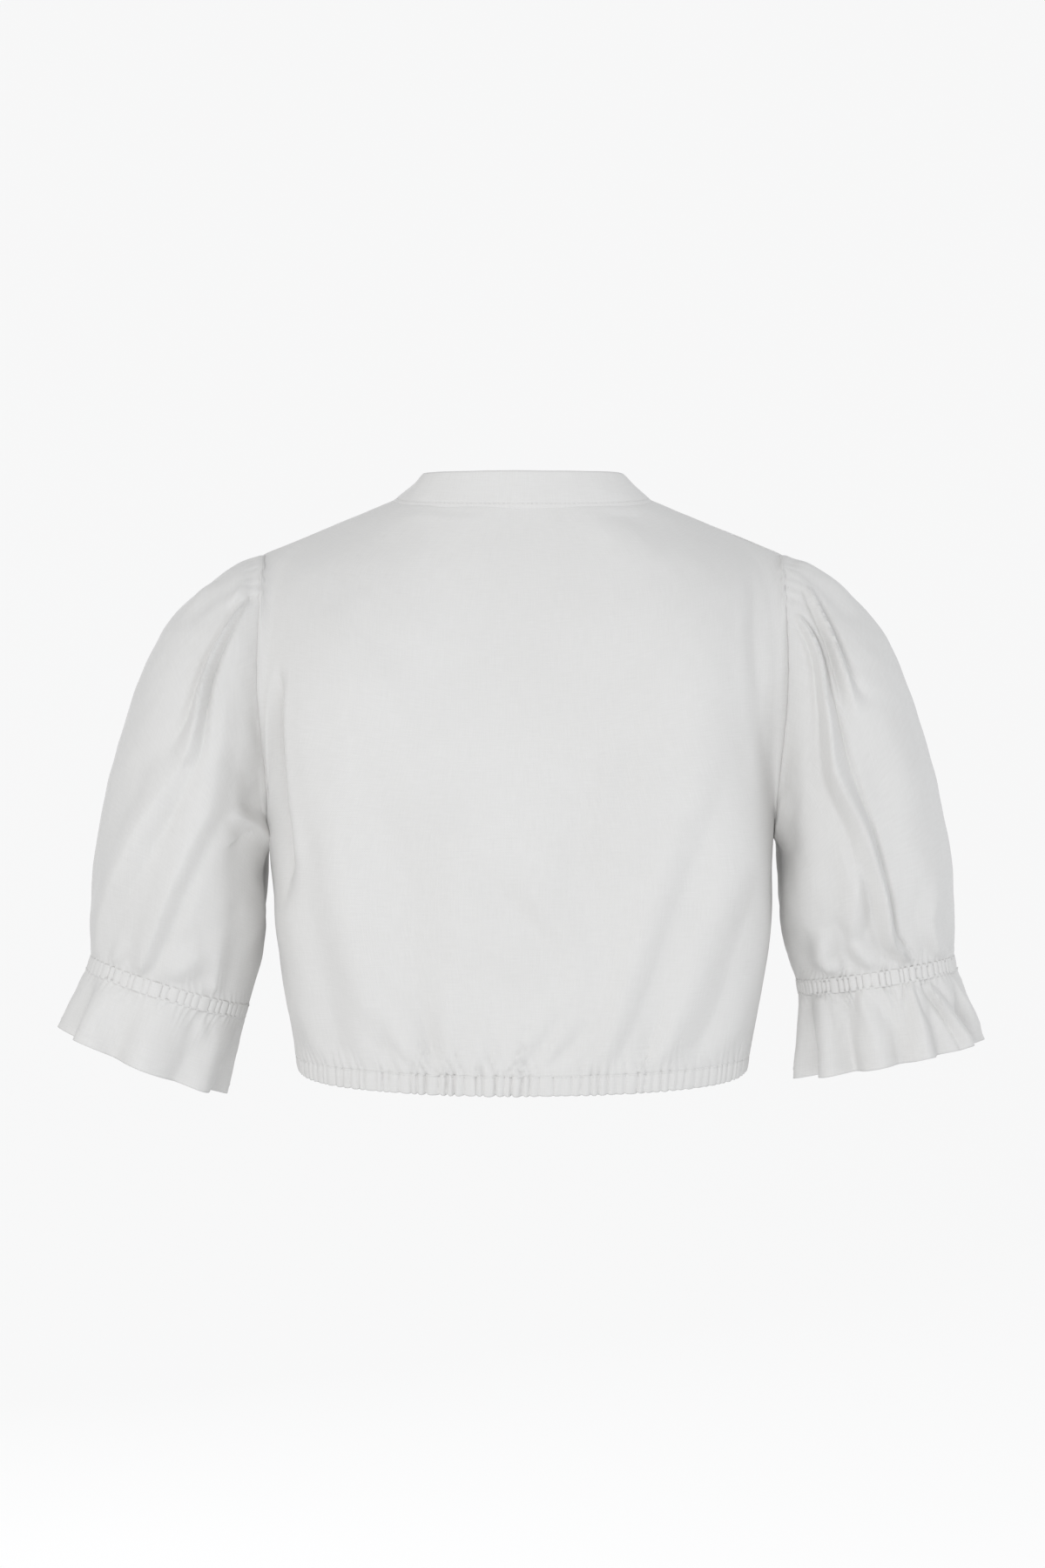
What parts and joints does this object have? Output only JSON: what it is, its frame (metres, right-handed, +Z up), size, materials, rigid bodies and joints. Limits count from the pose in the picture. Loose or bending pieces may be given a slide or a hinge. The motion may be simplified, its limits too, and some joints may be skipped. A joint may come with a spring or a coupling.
{
  "type": "dirndl blouse",
  "caption": "Cropped white blouse as worn, hollow, with a V neckline and band, puffed half sleeves with frills, a buttoned front and a gathered hem.",
  "frame": {"origin": "midway between the two points where the shoulder seams meet the neck band, where the wearer's shoulders and neck carry the blouse", "axes": "+X to the wearer's left, along the shoulders; +Y to the wearer's back; +Z up"},
  "size_m": [0.6069, 0.2351, 0.4045],
  "materials": {
    "plain_weave": "matt white cotton in a fine plain weave with faint slubs",
    "gathered_weave": "the same cotton, gathered on elastic",
    "button": "soft gloss, milky white"
  },
  "bodies": {
    "root": {"back_panel": "plain_weave", "front_panel_left": "plain_weave", "front_panel_right": "plain_weave", "neck_band": "plain_weave", "button_placket": "plain_weave", "sleeve_left": "plain_weave", "sleeve_right": "plain_weave", "sleeve_frill_left": "plain_weave", "sleeve_frill_right": "plain_weave", "hem_casing": "gathered_weave", "sleeve_elastic_left": "gathered_weave", "sleeve_elastic_right": "gathered_weave", "button_1": "button", "button_2": "button", "button_3": "button", "button_4": "button", "button_5": "button"}
  },
  "joints": []
}
